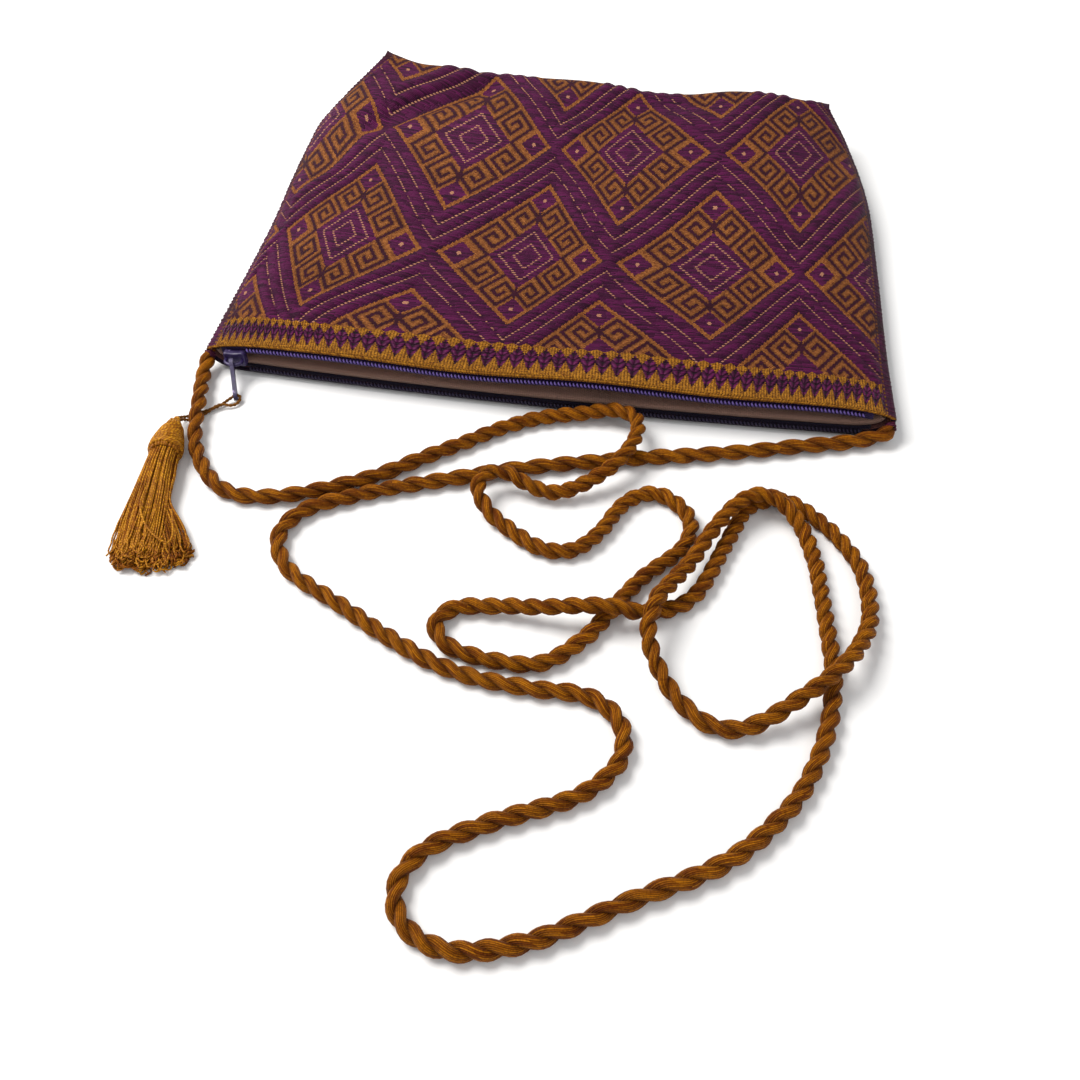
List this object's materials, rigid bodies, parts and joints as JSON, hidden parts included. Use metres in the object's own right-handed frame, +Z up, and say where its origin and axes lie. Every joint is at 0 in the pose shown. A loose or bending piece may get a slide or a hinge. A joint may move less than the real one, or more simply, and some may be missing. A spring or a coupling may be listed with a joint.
{
  "type": "cosmetic bag",
  "caption": "Flat handwoven cosmetic pouch with a lined zip mouth, lying on its back panel, with a loose twisted-rope strap and a tassel tied to the zip pull.",
  "frame": {"origin": "bottom centre of the box round the pouch and its zip, without the strap, the tie and the tassel, on the surface it lies on", "axes": "+X along the mouth, slider at the -X end; +Y from the mouth to the folded base; +Z up from the back panel"},
  "size_m": [0.2197, 0.3549, 0.0235],
  "materials": {
    "woven_cloth": "purple and old-gold supplementary-weft weave, matt",
    "lining_cloth": "plain tan-brown lining",
    "zip_tape": "dark purple woven tape",
    "zip_coil": "nylon coil",
    "zip_metal": "purple lacquer worn to silver at the edges",
    "tie_cord": "thin twisted cord",
    "tassel_yarn": "old-gold yarn with a slight sheen",
    "strap_rope": "old-gold yarn, twisted rope"
  },
  "bodies": {
    "root": {"bag_body": "woven_cloth", "lining": "lining_cloth", "zip_tape_front": "zip_tape", "zip_tape_back": "zip_tape", "zip_coil_front": "zip_coil", "zip_coil_back": "zip_coil", "zip_slider": "zip_metal", "zip_pull": "zip_metal", "pull_tie": "tie_cord", "tassel_head": "tassel_yarn", "tassel_skirt": "tassel_yarn", "strap": "strap_rope"}
  },
  "joints": []
}
